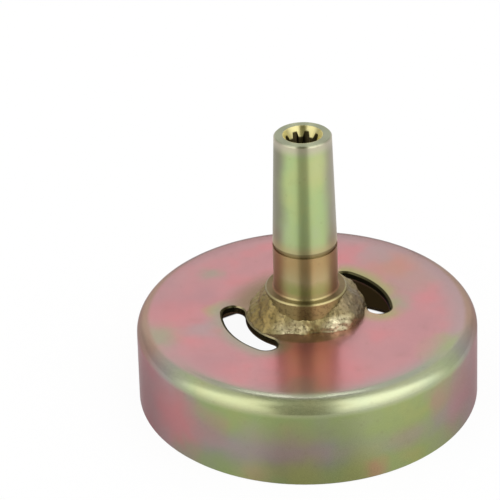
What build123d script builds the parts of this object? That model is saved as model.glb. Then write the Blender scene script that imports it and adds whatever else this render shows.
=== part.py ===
"""Clutch drum of a brush cutter: a drawn steel cup, a turned splined shaft and the weld that joins them.

Millimetres. The drum stands on its open rim: the rim plane is Z = 0, the shaft's axis is +Z,
and the two windows of the web lie on the X axis.
"""

import os
from math import cos, exp, hypot, radians, sin, tan

from build123d import *

# Drawn cup
DRUM_BORE = 76.0            # friction wall, inside diameter
SHEET = 2.0                 # thickness of the web, and of the wall at its bend
RIM_THICKENING = 0.5        # extra wall at the rim, which drawing pushes outwards
CUP_HEIGHT = 21.0           # rim to the web's outer face
BEND_INSIDE = 1.5           # inside radius between web and wall
RIM_EDGE_BREAK = 0.4        # bevel of the trimmed rim

# Windows punched in the web, just clear of the weld
WINDOW_COUNT = 2
WINDOW_WELD_GAP = 0.7
WINDOW_WIDTH = 5.4
WINDOW_SWEEP = 55.0         # degrees between the centres of a window's round ends
WINDOW_ROLL_OVER = 0.3      # bevel on the side that the punch enters

# Outside of the turned shaft
SPIGOT_DIAMETER = 16.0      # passes through the web
SPIGOT_CLEARANCE = 0.05     # radial gap in the web's hole
SPIGOT_PROUD = 0.4          # stands out inside the cup
SPIGOT_EDGE_BREAK = 0.5
COLLAR_STEP = 1.5           # how far the collar stands out over the spigot
COLLAR_HEIGHT = 7.0         # bearing shoulder above the web
COLLAR_EDGE_BREAK = 0.35
SEAT_DIAMETER = 15.0        # bearing seat
SEAT_LENGTH = 11.0          # width of the bearing
SEAT_ROOT_RADIUS = 0.5
GROOVE_DEPTH = 0.35         # retaining ring groove above the bearing
GROOVE_WIDTH = 1.1
NOSE_LENGTH = 26.9          # tapered end above the groove
NOSE_CLEARANCE = 0.05       # the nose starts this much under the seat, so that the bearing slides over it
NOSE_TAPER = 0.9            # radius that the nose loses up to its tip
NOSE_EDGE_BREAK = 0.35

# Bore of the shaft
SPLINE_TEETH = 9
SPLINE_MINOR = 6.9          # diameter over the tooth tips
SPLINE_TOOTH_HEIGHT = 0.6
SPLINE_GROOVE_MOUTH = 1.5   # groove width at the tooth tips
SPLINE_GROOVE_ROOT = 1.0    # groove width at its bottom
SPLINE_LENGTH = 26.0        # from the tip down
SPLINE_PHASE = 7.0          # degrees from +X to the first groove
LEAD_IN_MARGIN = 0.45       # how far the cone at the tip opens past the grooves
LEAD_IN_DEPTH = 2.4
RELIEF_CLEARANCE = 1.15     # how far the hole drilled from inside the cup clears the grooves
RELIEF_EDGE_BREAK = 0.5
DRILL_POINT = 118.0         # degrees across the drilled cone

# Weld around the collar
WELD_REACH = 4.2            # how far the bead covers the web, out from the collar
WELD_TOP_GAP = 0.15         # the bead stops this far below the collar's bevelled edge
WELD_ROUNDNESS = 1.25       # exponent of the bead's section: 1 is flat, 2 is an ellipse, more is fuller
WELD_ROUNDNESS_SWING = 0.3  # how much fuller and flatter it gets on two opposite sides
WELD_FULL_SIDE = -25.0      # degrees from +X to the fuller side
WELD_LEVELS = 5             # outlines that the bead is lofted through, from the web up
WELD_RIPPLES = 13           # lumps around the bead
WELD_RIPPLE_HEIGHT = 0.45
WELD_WAVE = 137.0           # degrees of the wave that makes neighbouring lumps differ
WELD_LEVEL_SHIFT = 70.0     # degrees by which that wave moves on from level to level
WELD_START = -119.0         # degrees from +X to where the bead starts and ends
WELD_START_SPREAD = 36.0    # degrees to each side over which its reach thins out there
WELD_START_DIP_SPREAD = 48.0  # the same for its climb up the collar
WELD_START_FLATNESS = 4     # exponent of the thinning: 2 is a point, more is a flatter dip
WELD_START_REACH_LOSS = 0.66
WELD_START_CLIMB_LOSS = 0.5

# Places that follow from the sizes above
DRUM_R = DRUM_BORE / 2
SPIGOT_R = SPIGOT_DIAMETER / 2
COLLAR_R = SPIGOT_R + COLLAR_STEP
SEAT_R = SEAT_DIAMETER / 2
SPLINE_TIP_R = SPLINE_MINOR / 2
SPLINE_ROOT_R = SPLINE_TIP_R + SPLINE_TOOTH_HEIGHT
WINDOW_R = COLLAR_R + WELD_REACH + WINDOW_WELD_GAP + WINDOW_WIDTH / 2
WEB_INSIDE = CUP_HEIGHT - SHEET
SHAFT_FOOT = WEB_INSIDE - SPIGOT_PROUD
COLLAR_TOP = CUP_HEIGHT + COLLAR_HEIGHT
SEAT_TOP = COLLAR_TOP + SEAT_LENGTH
NOSE_FOOT = SEAT_TOP + GROOVE_WIDTH
SHAFT_TOP = NOSE_FOOT + NOSE_LENGTH
SPLINE_FOOT = SHAFT_TOP - SPLINE_LENGTH


def turned(points, rounds=(), bevels=()):
    """Solid of revolution about Z of an outline of (radius, height) points.

    rounds and bevels hold (corner point, size) pairs for the corners to fillet or chamfer.
    """
    outline = make_face(Polyline(*points, close=True))
    for treat, corners in ((fillet, rounds), (chamfer, bevels)):
        for corner, size in corners:
            outline = treat(outline.vertices().sort_by_distance(corner)[0], size)
    return revolve(Plane.XZ * outline, Axis.Z)


def windows():
    """Cutters for the curved windows, spread evenly about the axis from +X."""
    arc = CenterArc((0, 0), WINDOW_R, -WINDOW_SWEEP / 2, WINDOW_SWEEP)
    window = extrude(Pos(0, 0, WEB_INSIDE) * SlotArc(arc, WINDOW_WIDTH), SHEET)
    return [Rot(0, 0, turn * 360 / WINDOW_COUNT) * window for turn in range(WINDOW_COUNT)]


def drum_cup():
    """Cup drawn from sheet: flat web, bent shoulder and a wall that thickens towards the rim."""
    hole = SPIGOT_R + SPIGOT_CLEARANCE
    wall = DRUM_R + SHEET
    rim = wall + RIM_THICKENING
    cup = turned(
        [
            (DRUM_R, 0),
            (rim, 0),
            (wall, CUP_HEIGHT),
            (hole, CUP_HEIGHT),
            (hole, WEB_INSIDE),
            (DRUM_R, WEB_INSIDE),
        ],
        rounds=[
            ((wall, CUP_HEIGHT), BEND_INSIDE + SHEET),
            ((DRUM_R, WEB_INSIDE), BEND_INSIDE),
        ],
        bevels=[((DRUM_R, 0), RIM_EDGE_BREAK), ((rim, 0), RIM_EDGE_BREAK)],
    )
    cup -= windows()
    punched = [
        edge
        for edge in cup.edges().filter_by_position(Axis.Z, CUP_HEIGHT, CUP_HEIGHT)
        if abs(hypot(edge.center().X, edge.center().Y) - WINDOW_R) < WINDOW_WIDTH
    ]
    return chamfer(punched, WINDOW_ROLL_OVER)


def shaft_blank():
    """Outside of the turned shaft: spigot, collar, bearing seat, ring groove and tapered nose."""
    groove = SEAT_R - GROOVE_DEPTH
    nose = SEAT_R - NOSE_CLEARANCE
    tip = nose - NOSE_TAPER
    return turned(
        [
            (0, SHAFT_FOOT),
            (SPIGOT_R, SHAFT_FOOT),
            (SPIGOT_R, CUP_HEIGHT),
            (COLLAR_R, CUP_HEIGHT),
            (COLLAR_R, COLLAR_TOP),
            (SEAT_R, COLLAR_TOP),
            (SEAT_R, SEAT_TOP),
            (groove, SEAT_TOP),
            (groove, NOSE_FOOT),
            (nose, NOSE_FOOT),
            (tip, SHAFT_TOP),
            (0, SHAFT_TOP),
        ],
        rounds=[((SEAT_R, COLLAR_TOP), SEAT_ROOT_RADIUS)],
        bevels=[
            ((SPIGOT_R, SHAFT_FOOT), SPIGOT_EDGE_BREAK),
            ((COLLAR_R, COLLAR_TOP), COLLAR_EDGE_BREAK),
            ((tip, SHAFT_TOP), NOSE_EDGE_BREAK),
        ],
    )


def splined_hole():
    """Cutter for the splined hole: the circle over the tooth tips and a tapered groove for each tooth space."""
    mouth = SPLINE_GROOVE_MOUTH / 2
    root = SPLINE_GROOVE_ROOT / 2
    sides = [
        (0, -mouth),
        (SPLINE_TIP_R, -mouth),
        (SPLINE_ROOT_R, -root),
        (SPLINE_ROOT_R, root),
        (SPLINE_TIP_R, mouth),
        (0, mouth),
    ]
    groove = make_face(Polyline(*sides, close=True)) & Circle(SPLINE_ROOT_R)
    pitch = 360 / SPLINE_TEETH
    grooves = [Rot(0, 0, SPLINE_PHASE + tooth * pitch) * groove for tooth in range(SPLINE_TEETH)]
    return extrude(Pos(0, 0, SPLINE_FOOT) * (Circle(SPLINE_TIP_R) + grooves), SPLINE_LENGTH)


def lead_in():
    """Cutter for the cone at the tip that guides the drive shaft into the spline."""
    cone_foot = SHAFT_TOP - LEAD_IN_DEPTH
    mouth = SPLINE_ROOT_R + LEAD_IN_MARGIN
    return turned([(0, cone_foot), (SPLINE_TIP_R, cone_foot), (mouth, SHAFT_TOP), (0, SHAFT_TOP)])


def relief_bore():
    """Cutter for the hole drilled from the cup's side up to the spline, with the drill's cone at its end."""
    bore = SPLINE_ROOT_R + RELIEF_CLEARANCE
    cone_height = bore / tan(radians(DRILL_POINT / 2))
    return turned(
        [
            (0, SHAFT_FOOT),
            (bore + RELIEF_EDGE_BREAK, SHAFT_FOOT),
            (bore, SHAFT_FOOT + RELIEF_EDGE_BREAK),
            (bore, SPLINE_FOOT),
            (0, SPLINE_FOOT + cone_height),
        ]
    )


def splined_shaft():
    """Turned shaft with its splined hole, lead-in cone and relief bore."""
    return shaft_blank() - splined_hole() - lead_in() - relief_bore()


def weld_outline(level):
    """Closed wavy outline of the bead at one of its levels, from the web at 0 up to the top of the bead."""
    full_climb = COLLAR_HEIGHT - COLLAR_EDGE_BREAK - WELD_TOP_GAP
    height = full_climb * level / (WELD_LEVELS - 1)
    points = []
    for place in range(2 * WELD_RIPPLES):
        angle = place * 180 / WELD_RIPPLES
        from_start = min(angle, 360 - angle)
        thinning = exp(-((from_start / WELD_START_SPREAD) ** WELD_START_FLATNESS))
        dip = exp(-((from_start / WELD_START_DIP_SPREAD) ** WELD_START_FLATNESS))
        reach = WELD_REACH * (1 - WELD_START_REACH_LOSS * thinning)
        climb = full_climb * (1 - WELD_START_CLIMB_LOSS * dip)
        turn = WELD_START + angle
        roundness = WELD_ROUNDNESS + WELD_ROUNDNESS_SWING * cos(radians(turn - WELD_FULL_SIDE))
        if height < climb:
            swell = reach * (1 - (height / climb) ** roundness) ** (1 / roundness)
        else:
            swell = climb - height
        valley = place % 2
        wave = (1 + sin(radians(place * WELD_WAVE + level * WELD_LEVEL_SHIFT))) / 2
        radius = COLLAR_R + swell - WELD_RIPPLE_HEIGHT * (valley + wave) / 2
        points.append(Vector(radius, 0, CUP_HEIGHT + height).rotate(Axis.Z, turn))
    return make_face(Spline(*points, periodic=True))


def weld_bead():
    """Hand-laid bead in the corner of collar and web: uneven lumps, thin where the bead starts and ends."""
    mound = loft([weld_outline(level) for level in range(WELD_LEVELS)])
    return mound - Pos(0, 0, COLLAR_TOP) * Cylinder(COLLAR_R, 2 * COLLAR_TOP)


if __name__ == "__main__":
    os.makedirs("parts", exist_ok=True)
    for make in (drum_cup, splined_shaft, weld_bead):
        piece = make()
        export_step(piece, f"parts/{make.__name__}.step")
        print(make.__name__, "volume", round(piece.volume, 1), "valid", piece.is_valid)
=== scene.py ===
"""Studio scene of a plated clutch drum: a drawn cup, a splined shaft and the weld that joins them.

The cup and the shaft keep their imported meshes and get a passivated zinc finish, whose colours run through
the film's own order from straw over gold, rose and mauve to green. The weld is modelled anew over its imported
solid, with lumps, beads and a toe that runs out towards the windows. Lengths on the object are in millimetres,
angles are in degrees and colours are linear, unless a name says otherwise.
"""

from __future__ import annotations

import logging
import math
from collections.abc import Sequence
from dataclasses import dataclass, field
from enum import Enum

import bpy
from mathutils import Matrix, Vector, noise
from mathutils.bvhtree import BVHTree


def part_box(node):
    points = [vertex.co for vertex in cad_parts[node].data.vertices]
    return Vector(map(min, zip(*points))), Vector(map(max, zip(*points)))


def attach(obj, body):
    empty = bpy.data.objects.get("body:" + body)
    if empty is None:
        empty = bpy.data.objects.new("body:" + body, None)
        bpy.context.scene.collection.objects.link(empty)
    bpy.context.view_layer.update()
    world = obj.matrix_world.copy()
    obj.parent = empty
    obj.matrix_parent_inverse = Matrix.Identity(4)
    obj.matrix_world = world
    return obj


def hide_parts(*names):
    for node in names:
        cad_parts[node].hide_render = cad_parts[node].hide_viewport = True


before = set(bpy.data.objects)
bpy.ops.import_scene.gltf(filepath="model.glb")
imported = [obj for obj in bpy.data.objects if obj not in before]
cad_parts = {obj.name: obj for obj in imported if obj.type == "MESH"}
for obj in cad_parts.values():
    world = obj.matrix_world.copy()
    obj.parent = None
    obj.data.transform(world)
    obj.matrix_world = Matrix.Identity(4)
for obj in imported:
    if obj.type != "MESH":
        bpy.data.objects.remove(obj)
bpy.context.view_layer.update()        # refreshes the scene after the import

log = logging.getLogger("clutch_drum")

MM = 0.001
Colour = tuple[float, float, float]
Span = tuple[float, float]      # where a fade starts and where it ends
Socket = bpy.types.NodeSocket
Feed = float | Sequence[float] | bpy.types.NodeSocket
WHITE: Colour = (1.0, 1.0, 1.0)


def top_of(node: str) -> float:
    """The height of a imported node's highest point, in millimetres."""
    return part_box(node)[1].z / MM


class FilmTone(Enum):
    """The colours of the passivate film, each with its place in the film's order from 0 to 1."""

    STRAW = (0.00, (0.62, 0.56, 0.30))
    GOLD = (0.13, (0.58, 0.43, 0.20))
    COPPER = (0.26, (0.56, 0.34, 0.22))
    DEEP_ROSE = (0.33, (0.76, 0.28, 0.295))
    ROSE = (0.42, (0.62, 0.325, 0.335))
    MAUVE = (0.54, (0.53, 0.30, 0.315))
    LILAC_GREY = (0.66, (0.46, 0.39, 0.38))
    SAGE = (0.77, (0.38, 0.41, 0.31))
    GREEN = (0.87, (0.37, 0.48, 0.20))
    OLIVE = (0.94, (0.45, 0.49, 0.18))

    @property
    def place(self) -> float:
        """Where the tone lies in the film's order."""
        return self.value[0]

    @property
    def colour(self) -> Colour:
        """The tone's linear colour."""
        return self.value[1]


class Side(Enum):
    """The camera's sides, as angles from its front, counted to the right."""

    FRONT = 0.0
    RIGHT = 90.0
    BACK = 180.0


class NodeSheet:
    """Lays nodes on one shader tree and links them."""

    def __init__(self, tree: bpy.types.NodeTree) -> None:
        """Starts on a tree that may hold nodes already."""
        self.tree = tree

    def feed(self, socket: Socket, value: Feed) -> None:
        """Links a socket to another, or sets its number or colour.

        Args:
            socket: The input to fill.
            value: An output socket, a number, a vector or a linear colour.
        """
        if isinstance(value, bpy.types.NodeSocket):
            self.tree.links.new(value, socket)
        elif socket.type == "RGBA" and len(value) == 3:
            socket.default_value = (*value, 1.0)
        else:
            socket.default_value = value

    def add(
        self, kind: str, feeds: dict[str | int, Feed] | None = None, **settings: object
    ) -> bpy.types.Node:
        """Makes one node.

        Args:
            kind: The node's type name.
            feeds: What each input gets, by its name or number.
            settings: The node's own properties.

        Returns:
            The new node.
        """
        node = self.tree.nodes.new(kind)
        for name, setting in settings.items():
            setattr(node, name, setting)
        for name, value in (feeds or {}).items():
            self.feed(node.inputs[name], value)
        return node

    def math(self, operation: str, first: Feed, second: Feed = 0.0) -> Socket:
        """The result of one sum on two numbers."""
        return self.add("ShaderNodeMath", {0: first, 1: second}, operation=operation).outputs[0]

    def times(self, first: Feed, second: Feed) -> Socket:
        """The product of two numbers."""
        return self.math("MULTIPLY", first, second)

    def vector(self, operation: str, first: Feed, second: Feed = (0.0, 0.0, 0.0)) -> Socket:
        """The vector result of one sum on two vectors."""
        return self.add("ShaderNodeVectorMath", {0: first, 1: second}, operation=operation).outputs["Vector"]

    def measure(self, operation: str, first: Feed, second: Feed = (0.0, 0.0, 0.0)) -> Socket:
        """The number that one sum on two vectors gives: a length, a distance or a dot product."""
        return self.add("ShaderNodeVectorMath", {0: first, 1: second}, operation=operation).outputs["Value"]

    def scale(self, vector: Feed, factor: Feed) -> Socket:
        """A vector times a number."""
        return self.add("ShaderNodeVectorMath", {0: vector, "Scale": factor}, operation="SCALE").outputs[0]

    def fade(self, value: Feed, start: Feed, end: Feed) -> Socket:
        """A smooth step from 0 at start to 1 at end, also where end is the lower one."""
        feeds = {"Value": value, "From Min": start, "From Max": end}
        return self.add("ShaderNodeMapRange", feeds, interpolation_type="SMOOTHSTEP").outputs["Result"]

    def band(self, value: Feed, low: float, high: float, soft: float) -> Socket:
        """A mask of one stretch of a measure.

        Args:
            value: The measure.
            low: Where the stretch starts.
            high: Where it ends.
            soft: How far it fades out on both sides of each end.

        Returns:
            The mask, 1 from low to high.
        """
        rising = self.fade(value, low - soft, low + soft)
        falling = self.fade(value, high + soft, high - soft)
        return self.times(rising, falling)

    def lerp(self, factor: Feed, low: Feed, high: Feed) -> Socket:
        """A number between low and high."""
        return self.add("ShaderNodeMix", {0: factor, 2: low, 3: high}, data_type="FLOAT").outputs[0]

    def blend(self, factor: Feed, low: Feed, high: Feed, mode: str = "MIX") -> Socket:
        """A colour between low and high, or another blend of the two."""
        feeds = {0: factor, 6: low, 7: high}
        return self.add("ShaderNodeMix", feeds, data_type="RGBA", blend_type=mode).outputs[2]

    def tint(self, colour: Feed, shade: Feed) -> Socket:
        """A colour multiplied by a shade."""
        return self.blend(1.0, colour, shade, "MULTIPLY")

    def cloud(self, place: Socket, scale: float, detail: float = 2.0, roughness: float = 0.5) -> Socket:
        """Soft noise around 0.5.

        Args:
            place: The point to read it at.
            scale: How many lumps lie along one unit.
            detail: The number of finer layers.
            roughness: How strong each finer layer is.

        Returns:
            The noise value.
        """
        feeds = {"Vector": place, "Scale": scale, "Detail": detail, "Roughness": roughness}
        return self.add("ShaderNodeTexNoise", feeds).outputs[0]


class SharedEffects:
    """The shader node groups that the finishes use, each built once."""

    def __init__(self) -> None:
        """Builds every group."""
        self.film = self._film()
        self.rings = self._rings()
        self.grain = self._grain()
        self.marks = self._marks()
        self.pits = self._pits()

    @staticmethod
    def _start(name: str, inputs: dict[str, str], outputs: dict[str, str]) -> tuple[NodeSheet, dict, dict]:
        """Opens a group.

        Args:
            name: The group's name.
            inputs: Socket types by input name.
            outputs: Socket types by output name.

        Returns:
            The sheet of its tree, its inputs as sockets to read, and its outputs as sockets to feed.
        """
        group = bpy.data.node_groups.new(name, "ShaderNodeTree")
        for label, kind in inputs.items():
            group.interface.new_socket(name=label, in_out="INPUT", socket_type=kind)
        for label, kind in outputs.items():
            group.interface.new_socket(name=label, in_out="OUTPUT", socket_type=kind)
        sheet = NodeSheet(group)
        entry = sheet.add("NodeGroupInput").outputs
        leave = sheet.add("NodeGroupOutput").inputs
        return sheet, {label: entry[label] for label in inputs}, {label: leave[label] for label in outputs}

    def _film(self) -> bpy.types.NodeTree:
        """The colour of the passivate film, which drifts in patches along the film's order.

        Returns:
            The group's tree.
        """
        sheet, entry, leave = self._start(
            "passivate_film",
            {
                "Place": "NodeSocketVector",
                "Order": "NodeSocketFloat",
                "Spread": "NodeSocketFloat",
                "Patch": "NodeSocketFloat",
            },
            {"Color": "NodeSocketColor"},
        )
        broad_share = 1.7
        fine_share = 0.6
        fine_scale = 3.3
        place = sheet.scale(entry["Place"], sheet.math("DIVIDE", 1.0, entry["Patch"]))
        broad = sheet.math("SUBTRACT", sheet.cloud(place, 1.0, 1.0), 0.5)
        fine = sheet.math("SUBTRACT", sheet.cloud(place, fine_scale), 0.5)
        drift = sheet.math("ADD", sheet.times(broad, broad_share), sheet.times(fine, fine_share))
        order = sheet.math("ADD", entry["Order"], sheet.times(drift, entry["Spread"]))
        ramp = sheet.add("ShaderNodeValToRGB", {"Fac": sheet.math("FRACT", order)})
        stops = ramp.color_ramp.elements
        stops[0].color = (*FilmTone.STRAW.colour, 1.0)
        stops[1].color = (*FilmTone.STRAW.colour, 1.0)
        for tone in FilmTone:
            if tone is not FilmTone.STRAW:
                stops.new(tone.place).color = (*tone.colour, 1.0)
        sheet.feed(leave["Color"], ramp.outputs["Color"])
        return sheet.tree

    def _rings(self) -> bpy.types.NodeTree:
        """Fine turning rings along one measure, as a height.

        Returns:
            The group's tree.
        """
        sheet, entry, leave = self._start(
            "turning_rings",
            {"Along": "NodeSocketFloat", "Pitch": "NodeSocketFloat"},
            {"Height": "NodeSocketFloat"},
        )
        turns = sheet.math("DIVIDE", entry["Along"], entry["Pitch"])
        feeds = {"W": turns, "Scale": 1.0, "Detail": 3.0}
        line = sheet.add("ShaderNodeTexNoise", feeds, noise_dimensions="1D")
        sheet.feed(leave["Height"], line.outputs[0])
        return sheet.tree

    def _grain(self) -> bpy.types.NodeTree:
        """The satin grain of plated steel, as a height.

        Returns:
            The group's tree.
        """
        sheet, entry, leave = self._start(
            "plating_grain",
            {"Place": "NodeSocketVector", "Size": "NodeSocketFloat"},
            {"Height": "NodeSocketFloat"},
        )
        place = sheet.scale(entry["Place"], sheet.math("DIVIDE", 1.0, entry["Size"]))
        sheet.feed(leave["Height"], sheet.cloud(place, 1.0, 3.0, 0.6))
        return sheet.tree

    def _marks(self) -> bpy.types.NodeTree:
        """Small stains and specks left by the plating bath, as a mask.

        Returns:
            The group's tree.
        """
        sheet, entry, leave = self._start(
            "bath_marks",
            {"Place": "NodeSocketVector", "Amount": "NodeSocketFloat"},
            {"Mask": "NodeSocketFloat"},
        )
        stain_scale = 0.23
        stain_edge = (0.58, 0.72)
        stain_share = 0.6
        speck_scale = 0.35
        speck_edge = (0.16, 0.08)
        stain = sheet.fade(sheet.cloud(entry["Place"], stain_scale, 4.0, 0.6), *stain_edge)
        cells = sheet.add("ShaderNodeTexVoronoi", {"Vector": entry["Place"], "Scale": speck_scale})
        speck = sheet.fade(cells.outputs["Distance"], *speck_edge)
        both = sheet.math("MAXIMUM", sheet.times(stain, stain_share), speck)
        sheet.feed(leave["Mask"], sheet.times(both, entry["Amount"]))
        return sheet.tree

    def _pits(self) -> bpy.types.NodeTree:
        """The pits of metal that a weld has heated, as a mask that grows from one level of noise to another.

        Returns:
            The group's tree.
        """
        sheet, entry, leave = self._start(
            "weld_pits",
            {"Place": "NodeSocketVector", "Start": "NodeSocketFloat", "End": "NodeSocketFloat"},
            {"Mask": "NodeSocketFloat"},
        )
        pit_scale = 1.3
        lumps = sheet.cloud(entry["Place"], pit_scale, 3.0, 0.6)
        sheet.feed(leave["Mask"], sheet.fade(lumps, entry["Start"], entry["End"]))
        return sheet.tree


@dataclass(frozen=True)
class Plating:
    """One plated finish: how it shines and how its film drifts."""

    name: str
    roughness: float
    grain_size: float
    grain_height: float
    patch: float
    spread: float
    anisotropy: float = 0.0


@dataclass(frozen=True)
class FilmSpot:
    """A soft patch of another film tone: its angle from +X, its radius, its height, its reach and its strength."""

    tone: FilmTone
    angle: float
    radius: float
    height: float
    reach: float
    strength: float

    @property
    def place(self) -> Colour:
        """The middle of the patch."""
        turn = math.radians(self.angle)
        return (self.radius * math.cos(turn), self.radius * math.sin(turn), self.height)


@dataclass(frozen=True)
class Sector:
    """A soft sector round the axis: its middle from +X, and the cosines where it starts and where it is full."""

    middle: float
    start: float
    full: float


class PlatedMaterial:
    """A material under way: the plated steel's shader, and the measures that its zones are read from."""

    spot_wander: float = 7.0
    spot_lumps: float = 0.16
    spot_core: float = 0.15

    def __init__(self, finish: Plating, effects: SharedEffects) -> None:
        """Starts the material with its shader and with the place on the object in millimetres.

        Args:
            finish: How the plating shines.
            effects: The shared groups.
        """
        self.finish = finish
        self.effects = effects
        self.material = bpy.data.materials.new(finish.name)
        self.material.use_nodes = True
        self.sheet = NodeSheet(self.material.node_tree)
        self.shader = self.material.node_tree.nodes["Principled BSDF"]
        self.shader.inputs["Metallic"].default_value = 1.0
        self.shader.inputs["Anisotropic"].default_value = finish.anisotropy
        self.place = self.sheet.scale(self.sheet.add("ShaderNodeTexCoord").outputs["Object"], 1.0 / MM)
        self.x, _, self.z = self.sheet.add("ShaderNodeSeparateXYZ", {0: self.place}).outputs
        self.flat = self.sheet.vector("MULTIPLY", self.place, (1.0, 1.0, 0.0))
        self.radius = self.sheet.measure("LENGTH", self.flat)

    def facing(self, angle: float) -> Socket:
        """How far a point lies towards an angle round the axis.

        Args:
            angle: The angle round the axis, from +X.

        Returns:
            The cosine of the angle between the point and that direction.
        """
        turn = math.radians(angle)
        towards = self.sheet.vector("NORMALIZE", self.flat)
        return self.sheet.measure("DOT_PRODUCT", towards, (math.cos(turn), math.sin(turn), 0.0))

    def sector(self, sector: Sector) -> Socket:
        """The mask of a soft sector round the axis."""
        return self.sheet.fade(self.facing(sector.middle), sector.start, sector.full)

    def film(self, order: Feed, spread: Feed | None = None) -> Socket:
        """The film's colour at an order.

        Args:
            order: The place in the film's order, as a number or a socket.
            spread: How far patches drift along the order, or the finish's own spread.

        Returns:
            The colour.
        """
        feeds = {
            "Place": self.place,
            "Order": order,
            "Spread": self.finish.spread if spread is None else spread,
            "Patch": self.finish.patch,
        }
        return self._group(self.effects.film, feeds)["Color"]

    def spotted(self, colour: Socket, spots: Sequence[FilmSpot], shade: Colour = WHITE) -> Socket:
        """Lays soft uneven patches over a colour.

        Args:
            colour: The colour below.
            spots: The patches.
            shade: What the tones are multiplied by.

        Returns:
            The colour with the patches.
        """
        sheet = self.sheet
        feeds = {"Vector": self.place, "Scale": self.spot_lumps, "Detail": 2.0}
        lumps = sheet.add("ShaderNodeTexNoise", feeds).outputs["Color"]
        shift = sheet.vector("SUBTRACT", lumps, (0.5, 0.5, 0.5))
        place = sheet.vector("ADD", self.place, sheet.scale(shift, self.spot_wander))
        for spot in spots:
            away = sheet.measure("DISTANCE", place, spot.place)
            mask = sheet.fade(away, spot.reach, self.spot_core * spot.reach)
            tone = tuple(part * dim for part, dim in zip(spot.tone.colour, shade))
            colour = sheet.blend(sheet.times(mask, spot.strength), colour, tone)
        return colour

    def rings(self, along: Feed, pitch: float) -> Socket:
        """Turning rings along a measure."""
        return self._group(self.effects.rings, {"Along": along, "Pitch": pitch})["Height"]

    def grain(self) -> Socket:
        """The finish's own grain."""
        feeds = {"Place": self.place, "Size": self.finish.grain_size}
        return self._group(self.effects.grain, feeds)["Height"]

    def marks(self, amount: float) -> Socket:
        """Stains and specks, up to an amount."""
        return self._group(self.effects.marks, {"Place": self.place, "Amount": amount})["Mask"]

    def pits(self, span: Span) -> Socket:
        """Pits, between two levels of noise."""
        return self._group(self.effects.pits, {"Place": self.place, "Start": span[0], "End": span[1]})["Mask"]

    def _group(self, tree: bpy.types.NodeTree, feeds: dict[str, Feed]) -> bpy.types.bpy_prop_collection:
        """Places a shared group and gives its outputs."""
        return self.sheet.add("ShaderNodeGroup", node_tree=tree, feeds=feeds).outputs

    def finish_with(self, colour: Socket, roughness: Feed, height: Socket) -> bpy.types.Material:
        """Links what was worked out to the shader.

        Args:
            colour: The base colour.
            roughness: The roughness.
            height: The bump's height, in grain heights.

        Returns:
            The finished material.
        """
        self.sheet.feed(self.shader.inputs["Base Color"], colour)
        self.sheet.feed(self.shader.inputs["Roughness"], roughness)
        bump = self.sheet.add("ShaderNodeBump", {"Height": height, "Distance": self.finish.grain_height * MM})
        self.sheet.feed(self.shader.inputs["Normal"], bump.outputs["Normal"])
        return self.material


def paint(node: str, material: bpy.types.Material) -> bpy.types.Object:
    """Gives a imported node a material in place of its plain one.

    Args:
        node: The node's name.
        material: What it gets.

    Returns:
        The node's object.
    """
    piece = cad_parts[node]
    for place in piece.material_slots:
        place.material = material
    log.info("%s dressed in %s", node, material.name)
    return piece


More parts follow.
